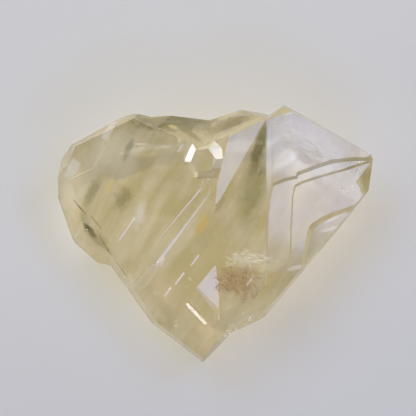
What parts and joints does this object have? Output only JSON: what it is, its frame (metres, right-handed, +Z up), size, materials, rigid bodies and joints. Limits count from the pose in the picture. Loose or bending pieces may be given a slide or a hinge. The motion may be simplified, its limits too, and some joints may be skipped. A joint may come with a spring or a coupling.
{
  "type": "calcite specimen",
  "caption": "Heart-shaped twinned calcite crystal, honey-yellow and see-through to milky, lying on a flat cleavage face.",
  "frame": {"origin": "on the surface that the crystal rests on, under the middle of its bounding box", "axes": "+Z up, from the resting face to the front faces; +Y towards the notch; +X towards the right lobe"},
  "size_m": [0.124, 0.1014, 0.048],
  "materials": {
    "calcite": "glossy crystal faces with growth steps over a milky, honey-yellow, see-through body"
  },
  "bodies": {
    "root": {"calcite_crystal": "calcite"}
  },
  "joints": []
}
